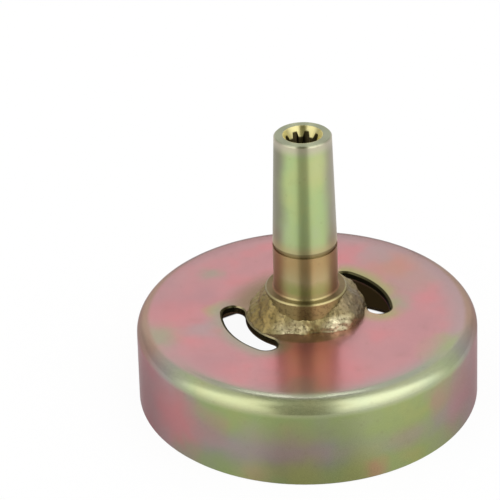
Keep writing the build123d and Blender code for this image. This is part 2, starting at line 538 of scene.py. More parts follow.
@dataclass
class DrumCup:
    """The drawn cup with its web, bend, friction wall and two windows.

    Spans that end in reach are radii, counted outwards from the start of the bend, from the middle line of the
    windows or from the weld's foot.
    """

    node: str = "drum_cup"
    web_top: float = field(default_factory=lambda: top_of("drum_cup"))
    wall_outside: float = 40.3
    wall_inside: float = 38.0
    sheet: float = 2.0
    bend_start: float = 36.5
    window_radius: float = 17.1
    window_width: float = 5.4
    window_sweep: float = 55.0
    weld_foot: float = 13.0

    # The web: greyer towards the bend, sage along its front edge, and redder in front of the weld, where film tone
    # and painted light brighten the shaft's reflection
    grey_reach: Span = (-6.0, 0.0)
    grey_sector: Sector = Sector(-27.5, -0.5, 0.5)
    grey_left: float = 0.30
    grey_right: float = 0.65
    verge_reach: Span = (-3.5, 0.1)
    verge_sector: Sector = Sector(-113.0, 0.3, 0.85)
    verge_strength: float = 0.55
    lip_reach: Span = (-1.6, -0.4)
    lip_sector: Sector = Sector(-113.0, 0.5, 0.85)
    lip_strength: float = 0.85
    reflection_lift_tint: Colour = (1.10, 1.14, 1.18)

    # Round the windows: a halo in the film, and painted shade on the punched bevel, wider and darker on the outer
    # side
    window_sides: Span = (-5.0, 5.0)
    window_reach: Span = (-0.6, 0.4)
    halo_width: Span = (5.0, 0.3)
    halo_lumps: float = 0.11
    halo_break: Span = (0.20, 0.52)
    halo_left: float = 0.75
    halo_right: float = 0.95
    halo_tint: Colour = (0.45, 0.43, 0.21)
    outer_shade_widening: float = 0.25
    outer_edge_shade_tint: Colour = (0.06, 0.055, 0.025)
    bevel_width: Span = (0.45, 0.20)
    bevel_shade_tint: Colour = (0.26, 0.22, 0.12)

    # Round the weld: the brown line at its foot and the heat stain behind it
    foot_reach: Span = (2.0, 1.0)
    foot_sector: Sector = Sector(-27.5, 0.2, 0.8)
    foot_left: float = 0.85
    foot_right: float = 0.3
    heat_reach: Span = (9.0, 1.0)
    heat_sector: Sector = Sector(112.0, 0.5, 0.95)
    heat_tint: Colour = (0.33, 0.24, 0.16)

    # The bend: green in front with a pale painted highlight tint that is whiter on the right, lilac grey elsewhere,
    # with painted shade on its outer part at the sides and along its back edge
    bend_reach: Span = (-0.1, 1.5)
    bend_depth: Span = (3.7, 2.1)
    bend_sector: Sector = Sector(-113.0, 0.22, 0.78)
    bend_drift: float = 0.03
    bend_spread: float = 0.05
    bend_highlight_tint: Colour = (1.07, 0.93, 1.30)
    white_sector: Sector = Sector(-92.0, 0.88, 0.985)
    white_highlight_tint: Colour = (1.07, 0.95, 1.51)
    side_shade: Colour = (0.95, 0.86, 0.66)
    side_low_reach: Span = (1.7, 3.3)
    side_low_painted_shade: Colour = (0.73, 0.64, 0.53)
    back_reach: Span = (0.4, 1.3)
    back_sector: Sector = Sector(62.5, 0.4, 0.75)
    back_painted_shade: Colour = (0.70, 0.66, 0.68)
    ease_reach: Span = (-2.0, 2.0)
    ease_drop: float = 0.45

    # The wall: green in front with a mauve middle and mauve elsewhere, darkened all over by a painted shade and
    # lighter on the right by painted light
    wall_reach: Span = (0.5, 2.0)
    green_sector: Sector = Sector(-112.0, 0.30, 0.80)
    middle_low: float = 6.0
    middle_high: float = 10.0
    middle_soft: float = 3.5
    middle_drift: float = 0.18
    wall_painted_shade: Colour = (0.80, 0.76, 0.76)
    lit_side_sector: Sector = Sector(-72.0, 0.45, 0.95)
    painted_light_tint: Colour = (1.18, 1.12, 1.12)

    # The inside: where it begins within the sheet, and its two films
    web_skin: float = 0.75
    wall_skin: float = 0.3
    inner_reach: Span = (-1.0, 1.0)
    inner_web_spread: float = 0.4
    inner_wall_spread: float = 0.1
    inner_wall_shade: Colour = (0.62, 0.64, 0.42)

    # The whole cup
    edge_tint: Colour = (0.62, 0.56, 0.56)
    stains: float = 0.15
    stain_tint: Colour = (0.20, 0.15, 0.09)
    stain_roughness: float = 0.2
    crystals: float = 16.0
    crystal_edge: Span = (0.42, 0.62)
    crystal_roughness: float = 0.46
    finish: Plating = Plating("cup_film", 0.18, 0.5, 0.0015, 11.0, 0.10)

    def web_spots(self) -> list[FilmSpot]:
        """The patches of the web, in the order in which they lie over each other.

        Returns:
            The patches.
        """
        top = self.web_top
        return [
            FilmSpot(FilmTone.SAGE, 115.0, 29.0, top, 5.0, 0.6),
            FilmSpot(FilmTone.SAGE, 167.0, 36.0, top, 9.0, 0.65),
            FilmSpot(FilmTone.OLIVE, 166.0, 36.0, top, 8.0, 0.15),
            FilmSpot(FilmTone.GREEN, -61.0, 36.5, top, 8.0, 0.3),
            FilmSpot(FilmTone.COPPER, 14.0, 29.0, top, 9.0, 0.5),
            FilmSpot(FilmTone.LILAC_GREY, 26.0, 31.0, top, 7.0, 0.6),
            FilmSpot(FilmTone.MAUVE, 136.0, 25.0, top, 8.0, 0.6),
            FilmSpot(FilmTone.MAUVE, -163.0, 30.0, top, 8.0, 0.5),
            FilmSpot(FilmTone.LILAC_GREY, -123.0, 34.0, top, 7.0, 0.4),
            FilmSpot(FilmTone.DEEP_ROSE, 151.0, 32.0, top, 10.0, 0.4),
            FilmSpot(FilmTone.LILAC_GREY, 169.0, 25.5, top, 6.0, 0.6),
            FilmSpot(FilmTone.GREEN, -54.0, 38.0, top, 7.0, 0.6),
            FilmSpot(FilmTone.SAGE, -20.0, 21.5, top, 5.5, 0.7),
            FilmSpot(FilmTone.OLIVE, 148.0, 21.0, top, 4.5, 0.5),
            FilmSpot(FilmTone.SAGE, -3.0, 28.5, top, 10.0, 0.3),
            FilmSpot(FilmTone.MAUVE, 140.0, 33.0, top, 10.0, 0.45),
        ]

    def reflection_lift_spots(self) -> list[FilmSpot]:
        """The lighter, redder patch in front of the weld: film tone, with painted light that brightens the shaft's
        reflection there.
        """
        return [FilmSpot(FilmTone.DEEP_ROSE, -118.0, 23.0, self.web_top, 15.0, 0.85)]

    def wall_spots(self) -> list[FilmSpot]:
        """The patches of the wall, in the order in which they lie over each other.

        Returns:
            The patches.
        """
        out = self.wall_outside
        return [
            FilmSpot(FilmTone.MAUVE, -166.0, out, 13.5, 8.0, 0.6),
            FilmSpot(FilmTone.DEEP_ROSE, -167.0, out, 9.0, 12.0, 0.65),
            FilmSpot(FilmTone.SAGE, -164.0, out, 0.5, 7.0, 0.6),
            FilmSpot(FilmTone.GREEN, -141.0, out, 3.0, 8.0, 0.6),
            FilmSpot(FilmTone.GREEN, -136.0, out, 15.0, 8.0, 0.55),
            FilmSpot(FilmTone.MAUVE, -153.0, out, 11.0, 7.0, 0.5),
            FilmSpot(FilmTone.LILAC_GREY, -139.0, out, 9.0, 9.0, 0.6),
            FilmSpot(FilmTone.MAUVE, -125.0, out, 8.5, 10.0, 0.4),
            FilmSpot(FilmTone.OLIVE, -121.0, out, 2.0, 8.0, 0.8),
            FilmSpot(FilmTone.STRAW, -137.0, out, 1.5, 7.0, 0.5),
            FilmSpot(FilmTone.COPPER, -138.0, out, 2.0, 5.0, 0.25),
            FilmSpot(FilmTone.GREEN, -95.0, out, 11.0, 12.0, 0.6),
            FilmSpot(FilmTone.GREEN, -105.0, out, 7.5, 7.0, 0.5),
            FilmSpot(FilmTone.OLIVE, -103.0, out, 2.5, 8.0, 0.6),
            FilmSpot(FilmTone.COPPER, -98.0, out, 1.8, 4.8, 0.7),
            FilmSpot(FilmTone.GREEN, -79.0, out, 8.0, 5.0, 0.5),
            FilmSpot(FilmTone.MAUVE, -73.0, out, 14.0, 6.0, 0.5),
            FilmSpot(FilmTone.COPPER, -86.0, out, 7.5, 6.0, 0.15),
            FilmSpot(FilmTone.MAUVE, -60.0, out, 11.0, 12.0, 0.6),
        ]

    @staticmethod
    def reach(made: PlatedMaterial, start: float, span: Span) -> Socket:
        """A fade along the radius, with its span counted from a starting radius."""
        return made.sheet.fade(made.radius, start + span[0], start + span[1])

    def window_distance(self, made: PlatedMaterial) -> Socket:
        """How far a point of the web lies from the nearest window's edge.

        Args:
            made: The cup's material under way.

        Returns:
            The distance in millimetres, below zero inside the window's outline.
        """
        sheet = made.sheet
        half = math.radians(self.window_sweep / 2.0)
        across = sheet.vector("ABSOLUTE", made.flat)
        parts = sheet.add("ShaderNodeSeparateXYZ", {0: across}).outputs
        turn = sheet.math("ARCTAN2", parts["Y"], parts["X"])
        off_arc = sheet.math("ABSOLUTE", sheet.math("SUBTRACT", made.radius, self.window_radius))
        end = (self.window_radius * math.cos(half), self.window_radius * math.sin(half), 0.0)
        off_end = sheet.measure("DISTANCE", across, end)
        beyond = sheet.math("GREATER_THAN", turn, half)
        return sheet.math("SUBTRACT", sheet.lerp(beyond, off_arc, off_end), self.window_width / 2.0)

    def plain_web(self, made: PlatedMaterial) -> Socket:
        """The web's film away from the windows and the weld: rose, with its patches and its front edge.

        Args:
            made: The cup's material under way.

        Returns:
            The colour.
        """
        sheet = made.sheet
        greyness = sheet.lerp(made.sector(self.grey_sector), self.grey_left, self.grey_right)
        outer = sheet.times(self.reach(made, self.bend_start, self.grey_reach), greyness)
        rose = sheet.blend(outer, made.film(FilmTone.ROSE.place), FilmTone.LILAC_GREY.colour)
        # painted light: a lighter patch of film that brightens the shaft's reflection in front of the weld
        rose = made.spotted(rose, self.reflection_lift_spots(), self.reflection_lift_tint)
        verge = sheet.times(self.reach(made, self.bend_start, self.verge_reach), made.sector(self.verge_sector))
        rose = sheet.blend(sheet.times(verge, self.verge_strength), rose, FilmTone.SAGE.colour)
        lip = sheet.times(self.reach(made, self.bend_start, self.lip_reach), made.sector(self.lip_sector))
        rose = sheet.blend(sheet.times(lip, self.lip_strength), rose, FilmTone.SAGE.colour)
        return made.spotted(rose, self.web_spots())

    def web_film(self, made: PlatedMaterial) -> Socket:
        """The whole web's film: a halo and painted shade on the bevel round the windows, and brown round the weld.

        Args:
            made: The cup's material under way.

        Returns:
            The colour.
        """
        sheet = made.sheet
        edge = self.window_distance(made)
        uneven = sheet.fade(sheet.cloud(made.place, self.halo_lumps), *self.halo_break)
        halo = sheet.times(sheet.fade(edge, *self.halo_width), uneven)
        right = sheet.fade(made.x, *self.window_sides)
        halo = sheet.times(halo, sheet.lerp(right, self.halo_left, self.halo_right))
        tone = sheet.blend(right, FilmTone.SAGE.colour, self.halo_tint)
        film = sheet.blend(halo, self.plain_web(made), tone)
        foot = self.reach(made, self.weld_foot, self.foot_reach)
        foot = sheet.times(foot, sheet.lerp(made.sector(self.foot_sector), self.foot_left, self.foot_right))
        heat = sheet.times(self.reach(made, self.weld_foot, self.heat_reach), made.sector(self.heat_sector))
        film = sheet.blend(sheet.math("MAXIMUM", heat, foot), film, self.heat_tint)
        # painted shade on the punched bevel round the windows, wider and darker on their outer side
        outside = self.reach(made, self.window_radius, self.window_reach)
        bevel = sheet.math("SUBTRACT", edge, sheet.times(outside, self.outer_shade_widening))
        bevel_shade_colour = sheet.blend(outside, self.bevel_shade_tint, self.outer_edge_shade_tint)
        return sheet.blend(sheet.fade(bevel, *self.bevel_width), film, bevel_shade_colour)

    def bend_film(self, made: PlatedMaterial) -> Socket:
        """The bend's film: green in front with a pale painted highlight tint, lilac grey elsewhere with painted shade
        on its outer part and along its back edge.

        Args:
            made: The cup's material under way.

        Returns:
            The colour.
        """
        sheet = made.sheet
        front = made.sector(self.bend_sector)
        side_place = FilmTone.LILAC_GREY.place - self.bend_drift
        order = sheet.lerp(front, side_place, FilmTone.GREEN.place + self.bend_drift)
        # painted shade: the bend's outer part darker at the sides, and its back edge darker
        low = self.reach(made, self.bend_start, self.side_low_reach)
        shade = sheet.blend(low, self.side_shade, self.side_low_painted_shade)
        back = sheet.times(self.reach(made, self.bend_start, self.back_reach), made.sector(self.back_sector))
        shade = sheet.blend(back, shade, self.back_painted_shade)
        # painted highlight: the front of the bend paler, and whiter on the right, where the highlights fall; partly
        # film tone
        pale = sheet.blend(made.sector(self.white_sector), self.bend_highlight_tint, self.white_highlight_tint)
        return sheet.tint(made.film(order, self.bend_spread), sheet.blend(front, shade, pale))

    def wall_film(self, made: PlatedMaterial) -> Socket:
        """The wall's film: green with a mauve middle in front, mauve elsewhere, with its patches, under a painted
        shade and with painted light on the right.

        Args:
            made: The cup's material under way.

        Returns:
            The colour.
        """
        sheet = made.sheet
        middle = sheet.band(made.z, self.middle_low, self.middle_high, self.middle_soft)
        order = sheet.math("SUBTRACT", FilmTone.GREEN.place, sheet.times(middle, self.middle_drift))
        order = sheet.lerp(made.sector(self.green_sector), FilmTone.MAUVE.place, order)
        # painted shade: the wall's film and its patches darkened all over
        film = sheet.tint(made.film(order), self.wall_painted_shade)
        film = made.spotted(film, self.wall_spots(), self.wall_painted_shade)
        # painted light: the right side of the wall lighter
        return sheet.blend(made.sector(self.lit_side_sector), film, self.painted_light_tint, "MULTIPLY")

    def inner_film(self, made: PlatedMaterial) -> Socket:
        """Pastel film under the web and copper brown on the friction wall.

        Args:
            made: The cup's material under way.

        Returns:
            The colour.
        """
        web = made.film(FilmTone.COPPER.place, self.inner_web_spread)
        wall = made.film(FilmTone.COPPER.place, self.inner_wall_spread)
        wall = made.sheet.tint(wall, self.inner_wall_shade)
        return made.sheet.blend(self.reach(made, self.bend_start, self.inner_reach), web, wall)

    def film(self, made: PlatedMaterial) -> Socket:
        """The film of the whole cup, put together from its zones.

        Args:
            made: The cup's material under way.

        Returns:
            The colour.
        """
        sheet = made.sheet
        wall = self.reach(made, self.bend_start, self.wall_reach)
        outside = sheet.blend(wall, self.web_film(made), self.wall_film(made))
        deep, shallow = self.bend_depth
        bend = sheet.fade(made.z, self.web_top - deep, self.web_top - shallow)
        bend = sheet.times(self.reach(made, self.bend_start, self.bend_reach), bend)
        outside = sheet.blend(bend, outside, self.bend_film(made))
        below = sheet.math("LESS_THAN", made.z, self.web_top - self.web_skin * self.sheet)
        within = sheet.math("LESS_THAN", made.radius, self.wall_inside + self.wall_skin * self.sheet)
        return sheet.blend(sheet.times(below, within), outside, self.inner_film(made))

    def material(self, effects: SharedEffects) -> bpy.types.Material:
        """The cup's finish: its film with bath stains, on crystals that shine unevenly, and a soft start of the bend.

        Args:
            effects: The shared groups.

        Returns:
            The material.
        """
        made = PlatedMaterial(self.finish, effects)
        sheet = made.sheet
        sheet.feed(made.shader.inputs["Specular Tint"], self.edge_tint)
        stains = made.marks(self.stains)
        colour = sheet.blend(stains, self.film(made), self.stain_tint)
        dull = sheet.fade(sheet.cloud(made.place, self.crystals, 1.0), *self.crystal_edge)
        roughness = sheet.lerp(dull, self.finish.roughness, self.crystal_roughness)
        roughness = sheet.math("ADD", roughness, sheet.times(stains, self.stain_roughness))
        eased = self.reach(made, self.bend_start, self.ease_reach)
        drop = sheet.times(eased, self.ease_drop / self.finish.grain_height)
        return made.finish_with(colour, roughness, sheet.math("SUBTRACT", made.grain(), drop))

    def dress(self, effects: SharedEffects) -> bpy.types.Object:
        """Paints the cup's node."""
        return paint(self.node, self.material(effects))


@dataclass
class SplinedShaft:
    """The turned shaft with its collar, bearing seat, ring groove, tapered nose and splined hole."""

    node: str = "splined_shaft"
    top: float = field(default_factory=lambda: top_of("splined_shaft"))
    collar_top: float = 28.0
    seat_top: float = 39.0
    nose_foot: float = 40.1
    bore_reach: float = 4.6
    cone_depth: float = 2.4
    cone_mouth: float = 4.5
    tooth_radius: float = 3.45

    # Painted shade on the two flanks of the nose and the seat, either side of the camera's view
    flank_angle: float = -27.5
    flank_fade: Span = (0.50, 0.95)
    flank_lumps: float = 0.12
    flank_drift: float = 0.3
    flank_strength: float = 0.9
    right_sector: Sector = Sector(-27.5, -0.3, 0.3)

    # The nose, from its foot to the tip's face
    nose_rise: Span = (41.0, 62.0)
    nose_drift: float = 0.02
    nose_shade: Colour = (1.09, 1.11, 1.23)
    nose_left_shade: Colour = (0.26, 0.235, 0.18)
    nose_right_shade: Colour = (0.38, 0.335, 0.275)
    flank_foot_height: float = 8.0
    flank_foot_strength: float = 0.7
    flank_foot_shade: Colour = (0.36, 0.24, 0.17)
    tip_depth: Span = (3.2, 0.6)
    tip_strength: float = 0.8
    tip_tint: Colour = (0.55, 0.50, 0.39)
    tip_face_depth: Span = (0.25, 0.05)
    tip_face_tint: Colour = (0.38, 0.40, 0.27)
    nose_foot_height: float = 3.0
    nose_foot_strength: float = 0.6
    foot_tint: Colour = (0.50, 0.40, 0.20)

    # The bearing seat, from olive to gold, and painted shade in the groove above it
    seat_rise: Span = (30.0, 38.0)
    seat_shade: Colour = (0.72, 0.74, 0.72)
    seat_flank_shade: Colour = (0.30, 0.14, 0.078)
    seat_foot_height: Span = (2.0, 0.3)
    seat_foot_strength: float = 0.8
    groove_soft: float = 0.08
    groove_strength: float = 0.5
    groove_shade_tint: Colour = (0.12, 0.10, 0.04)

    # The collar, with pits from the weld's heat, painted shade along its ledge and a ring with a painted highlight in
    # front
    collar_place: float = FilmTone.GOLD.place - 0.08
    collar_shade: Colour = (0.54, 0.52, 0.44)
    collar_soft: float = 0.1
    pit_span: Span = (0.52, 0.38)
    pit_strength: float = 0.5
    pit_tint: Colour = (0.13, 0.10, 0.05)
    ledge_half: float = 0.03
    ledge_soft: float = 0.02
    ledge_strength: float = 0.6
    ledge_shade_tint: Colour = (0.20, 0.16, 0.08)
    ring_depth: Span = (0.45, 0.10)
    ring_soft: float = 0.05
    ring_strength: float = 0.9
    ring_sector: Sector = Sector(-112.0, 0.0, 0.55)
    ring_unlit_tint: Colour = (0.30, 0.26, 0.16)
    ring_highlight_tint: Colour = (0.50, 0.43, 0.21)

    # The hole, with a bright lead-in cone above painted shade deep among its teeth
    cone_fit: Span = (0.10, 0.04)
    cone_foot: Span = (-0.1, 0.3)
    hole_tint: Colour = (0.82, 0.75, 0.37)
    bore_shade_tint: Colour = (0.12, 0.10, 0.05)
    hole_roughness: float = 0.40

    # The whole shaft
    stains: float = 0.1
    stain_tint: Colour = (0.18, 0.14, 0.08)
    turning_pitch: float = 0.22
    turning_height: float = 0.8
    turning_roughness: float = 0.10
    grain_share: float = 0.5
    quarter_turn: float = 0.25
    finish: Plating = Plating("shaft_film", 0.38, 0.4, 0.003, 9.0, 0.07, 0.96)

    def nose_spots(self) -> list[FilmSpot]:
        """The yellower patch near the tip."""
        return [FilmSpot(FilmTone.STRAW, -86.0, 6.5, 62.0, 7.0, 0.3)]

    def flank_shade_mask(self, made: PlatedMaterial) -> Socket:
        """The mask of the painted shade on the two flanks, with an uneven border.

        Args:
            made: The shaft's material under way.

        Returns:
            The mask, as strong as the flanks are.
        """
        sheet = made.sheet
        lumps = sheet.math("SUBTRACT", sheet.cloud(made.place, self.flank_lumps), 0.5)
        side = sheet.math("ABSOLUTE", made.facing(self.flank_angle))
        side = sheet.math("ADD", side, sheet.times(lumps, self.flank_drift))
        return sheet.times(sheet.fade(side, *self.flank_fade), self.flank_strength)

    def nose_film(self, made: PlatedMaterial, flank_shade: Socket) -> Socket:
        """The nose's film: green, with painted shade in grey on the flanks, browner towards their foot, a brown foot
        and a grey tip.

        Args:
            made: The shaft's material under way.
            flank_shade: The mask of the painted flank shade.

        Returns:
            The colour.
        """
        sheet = made.sheet
        green = FilmTone.GREEN.place
        rise = sheet.fade(made.z, *self.nose_rise)
        order = sheet.lerp(rise, green - self.nose_drift, green + self.nose_drift)
        film = made.spotted(sheet.tint(made.film(order), self.nose_shade), self.nose_spots())
        grey = sheet.blend(made.sector(self.right_sector), self.nose_left_shade, self.nose_right_shade)
        low = sheet.fade(made.z, self.nose_foot + self.flank_foot_height, self.nose_foot)
        grey = sheet.blend(sheet.times(low, self.flank_foot_strength), grey, self.flank_foot_shade)
        # painted shade: grey flanks where the nose turns away from the camera
        film = sheet.blend(flank_shade, film, grey)
        tip = sheet.fade(made.z, self.top - self.tip_depth[0], self.top - self.tip_depth[1])
        film = sheet.blend(sheet.times(tip, self.tip_strength), film, self.tip_tint)
        face = sheet.fade(made.z, self.top - self.tip_face_depth[0], self.top - self.tip_face_depth[1])
        film = sheet.blend(face, film, self.tip_face_tint)
        foot = sheet.fade(made.z, self.nose_foot + self.nose_foot_height, self.nose_foot)
        return sheet.blend(sheet.times(foot, self.nose_foot_strength), film, self.foot_tint)

    def seat_film(self, made: PlatedMaterial, flank_shade: Socket) -> Socket:
        """The bearing seat's film: olive at its foot, gold at its top, with painted shade in brown on the flanks.

        Args:
            made: The shaft's material under way.
            flank_shade: The mask of the painted flank shade.

        Returns:
            The colour.
        """
        sheet = made.sheet
        next_gold = FilmTone.GOLD.place + 1.0
        order = sheet.lerp(sheet.fade(made.z, *self.seat_rise), FilmTone.OLIVE.place, next_gold)
        film = sheet.tint(made.film(order), self.seat_shade)
        high, low = self.seat_foot_height
        foot = sheet.fade(made.z, self.collar_top + high, self.collar_top + low)
        film = sheet.blend(sheet.times(foot, self.seat_foot_strength), film, self.foot_tint)
        # painted shade: brown flanks where the seat turns away from the camera
        return sheet.blend(flank_shade, film, self.seat_flank_shade)

    def collar_film(self, made: PlatedMaterial) -> Socket:
        """The collar's film: dull gold with pits.

        Args:
            made: The shaft's material under way.

        Returns:
            The colour.
        """
        film = made.sheet.tint(made.film(self.collar_place), self.collar_shade)
        pits = made.sheet.times(made.pits(self.pit_span), self.pit_strength)
        return made.sheet.blend(pits, film, self.pit_tint)

    def edged(self, made: PlatedMaterial, colour: Socket) -> Socket:
        """Lays painted shade along the collar's ledge and in the groove, and the ring with its painted highlight,
        over the shaft's film.

        Args:
            made: The shaft's material under way.
            colour: The film below.

        Returns:
            The colour with the three.
        """
        sheet = made.sheet
        collar = self.collar_top
        # painted shade in the corner where the seat meets the collar
        ledge = sheet.band(made.z, collar - self.ledge_half, collar + self.ledge_half, self.ledge_soft)
        colour = sheet.blend(sheet.times(ledge, self.ledge_strength), colour, self.ledge_shade_tint)
        # painted highlight: the collar's ring pale in front, darker elsewhere
        ring = sheet.band(made.z, collar - self.ring_depth[0], collar - self.ring_depth[1], self.ring_soft)
        ring_colour = sheet.blend(made.sector(self.ring_sector), self.ring_unlit_tint, self.ring_highlight_tint)
        colour = sheet.blend(sheet.times(ring, self.ring_strength), colour, ring_colour)
        # painted shade in the ring groove
        groove = sheet.band(made.z, self.seat_top, self.nose_foot, self.groove_soft)
        return sheet.blend(sheet.times(groove, self.groove_strength), colour, self.groove_shade_tint)

    def hole_film(self, made: PlatedMaterial) -> Socket:
        """The hole's film: straw on the lead-in cone, with painted shade below it.

        Args:
            made: The shaft's material under way.

        Returns:
            The colour.
        """
        sheet = made.sheet
        slope = (self.cone_mouth - self.tooth_radius) / self.cone_depth
        rise = sheet.math("SUBTRACT", made.z, self.top - self.cone_depth)
        cone_radius = sheet.math("ADD", sheet.times(rise, slope), self.tooth_radius)
        off_cone = sheet.math("ABSOLUTE", sheet.math("SUBTRACT", made.radius, cone_radius))
        on_cone = sheet.times(sheet.fade(off_cone, *self.cone_fit), sheet.fade(rise, *self.cone_foot))
        # painted shade deep in the bore, below the lead-in cone
        return sheet.blend(on_cone, self.bore_shade_tint, self.hole_tint)

    def film(self, made: PlatedMaterial, hole: Socket) -> Socket:
        """The film of the whole shaft, put together from its zones.

        Args:
            made: The shaft's material under way.
            hole: The mask of the hole.

        Returns:
            The colour.
        """
        sheet = made.sheet
        flank_shade = self.flank_shade_mask(made)
        above_seat = sheet.fade(made.z, self.seat_top, self.nose_foot)
        colour = sheet.blend(above_seat, self.seat_film(made, flank_shade), self.nose_film(made, flank_shade))
        below_seat = sheet.fade(made.z, self.collar_top + self.collar_soft, self.collar_top - self.collar_soft)
        colour = sheet.blend(below_seat, colour, self.collar_film(made))
        return sheet.blend(hole, self.edged(made, colour), self.hole_film(made))

    def material(self, effects: SharedEffects) -> bpy.types.Material:
        """The shaft's finish: its film with bath stains, on fine turning rings that stretch its gloss.

        Args:
            effects: The shared groups.

        Returns:
            The material.
        """
        made = PlatedMaterial(self.finish, effects)
        sheet = made.sheet
        hole = sheet.math("LESS_THAN", made.radius, self.bore_reach)
        colour = sheet.blend(made.marks(self.stains), self.film(made, hole), self.stain_tint)
        rings = made.rings(made.z, self.turning_pitch)
        ring_height = sheet.times(rings, self.turning_height)
        height = sheet.math("ADD", ring_height, sheet.times(made.grain(), self.grain_share))
        smoothest = self.finish.roughness - self.turning_roughness / 2.0
        roughness = sheet.math("ADD", sheet.times(rings, self.turning_roughness), smoothest)
        roughness = sheet.lerp(hole, roughness, self.hole_roughness)
        made.shader.inputs["Anisotropic Rotation"].default_value = self.quarter_turn
        tangent = sheet.add("ShaderNodeTangent", direction_type="RADIAL", axis="Z")
        sheet.feed(made.shader.inputs["Tangent"], tangent.outputs["Tangent"])
        return made.finish_with(colour, roughness, height)

    def dress(self, effects: SharedEffects) -> bpy.types.Object:
        """Paints the shaft's node."""
        return paint(self.node, self.material(effects))


@dataclass
class WeldBead:
    """The hand laid bead between the collar and the web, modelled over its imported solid."""

    node: str = "weld_bead"
    piece: str = "weld_bead_lumps"
    slot: str = "weld_plating"
    web_top: float = field(default_factory=lambda: top_of("drum_cup"))
    collar_radius: float = 9.5
    collar_top: float = 28.0
    rim_gap: float = 0.4
    inset: float = 0.05
    ray_length: float = 12.0
    steps_round: int = 480
    steps_up: int = 40
    lump_size: float = 2.2
    lump_height: float = 0.40
    bead_size: float = 0.8
    bead_height: float = 0.15
    toe_spread: float = 0.7
    toe_angle: float = 60.0
    upper_half: float = 0.5

    # The finish
    film_place: float = FilmTone.STRAW.place + 0.01
    shade: Colour = (0.57, 0.52, 0.44)
    dull_shade: Colour = (0.40, 0.365, 0.25)
    painted_light_tint: Colour = (1.25, 1.27, 1.60)
    pit_span: Span = (0.50, 0.34)
    pit_strength: float = 0.7
    pit_tint: Colour = (0.13, 0.10, 0.05)
    stains: float = 0.5
    stain_tint: Colour = (0.12, 0.09, 0.05)
    grain_roughness: float = 0.2
    finish: Plating = Plating("weld_film", 0.46, 0.40, 0.045, 3.0, 0.07)

    def dull_spots(self) -> list[FilmSpot]:
        """The browner and the greyer side."""
        brown = FilmSpot(FilmTone.GOLD, 178.0, 12.0, 24.0, 9.0, 0.7)
        return [brown, FilmSpot(FilmTone.LILAC_GREY, -48.0, 12.0, 24.0, 10.0, 0.85)]

    def glint_spots(self) -> list[FilmSpot]:
        """The two painted highlights in front: pale patches where glints fall."""
        left = FilmSpot(FilmTone.STRAW, -140.0, 12.0, 22.5, 4.5, 0.5)
        return [left, FilmSpot(FilmTone.STRAW, -86.0, 12.0, 22.5, 4.0, 0.85)]

    def packed_surface(self) -> BVHTree:
        """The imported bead's surface, to cast rays at.

        Returns:
            Its tree of faces.
        """
        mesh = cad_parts[self.node].data
        corners = [vertex.co / MM for vertex in mesh.vertices]
        return BVHTree.FromPolygons(corners, [tuple(face.vertices) for face in mesh.polygons])

    def lift(self, point: Vector, share: float) -> float:
        """How far the bead stands out of its packed surface: lumps, beads, and its toe next to the windows.

        Args:
            point: A point of that surface.
            share: The way from the toe, 0, to the top, 1.

        Returns:
            The distance, which keeps the bead's top below the collar's rim.
        """
        lumps = noise.noise(point / self.lump_size)
        beads = noise.noise(point / self.bead_size)
        edge = math.cos(math.radians(self.toe_angle))
        beside = max(0.0, (abs(point.x) / point.xy.length - edge) / (1.0 - edge))
        toe = self.toe_spread * beside * (1.0 - share) ** 2
        lift = self.lump_height * lumps + self.bead_height * beads + toe
        return min(lift, self.collar_top - self.rim_gap - point.z) if share > self.upper_half else lift

    def section(self, surface: BVHTree, turn: float) -> list[Vector]:
        """One closed section of the bead: over its outside, then back down the collar and along the web.

        Args:
            surface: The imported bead.
            turn: The angle round the axis, in radians.

        Returns:
            The section's points.
        """
        out = Vector((math.cos(turn), math.sin(turn), 0.0))
        up = Vector((0.0, 0.0, 1.0))
        corner = out * (self.collar_radius + self.inset) + up * (self.web_top + self.inset)
        points = []
        for step in range(self.steps_up + 1):
            share = step / self.steps_up
            lean = math.radians(90.0) * share
            ray = out * math.cos(lean) + up * math.sin(lean)
            found = surface.ray_cast(corner + ray * self.ray_length, -ray, self.ray_length)[0]
            skin = corner if found is None else found
            points.append(skin + ray * self.lift(skin, share))
        top = points[-1].z
        foot = points[0].xy.length
        points.append(out * self.collar_radius + up * top)
        points.append(out * self.collar_radius + up * self.web_top)
        points.append(out * foot + up * self.web_top)
        return points

    def build(self) -> bpy.types.Object:
        """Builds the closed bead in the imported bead's place.

        Returns:
            The new piece.
        """
        surface = self.packed_surface()
        turns = [math.tau * step / self.steps_round for step in range(self.steps_round)]
        sections = [self.section(surface, turn) for turn in turns]
        count = len(sections[0])
        corners = [point * MM for section in sections for point in section]
        faces = []
        for number in range(self.steps_round):
            here = number * count
            there = (number + 1) % self.steps_round * count
            for step in range(count):
                after = (step + 1) % count
                faces.append((here + step, there + step, there + after, here + after))
        mesh = bpy.data.meshes.new(self.piece)
        mesh.from_pydata(corners, [], faces)
        mesh.shade_smooth()
        mesh.validate()
        bead = bpy.data.objects.new(self.piece, mesh)
        bpy.context.scene.collection.objects.link(bead)
        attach(bead, "root")
        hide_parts(self.node)
        log.info("%s built with %d faces", self.piece, len(mesh.polygons))
        return bead

    def material(self, effects: SharedEffects) -> bpy.types.Material:
        """The bead's finish: straw brown film with pits, stains and two painted highlights on rough metal.

        Args:
            effects: The shared groups.

        Returns:
            The material.
        """
        made = PlatedMaterial(self.finish, effects)
        sheet = made.sheet
        colour = sheet.tint(made.film(self.film_place), self.shade)
        colour = made.spotted(colour, self.dull_spots(), self.dull_shade)
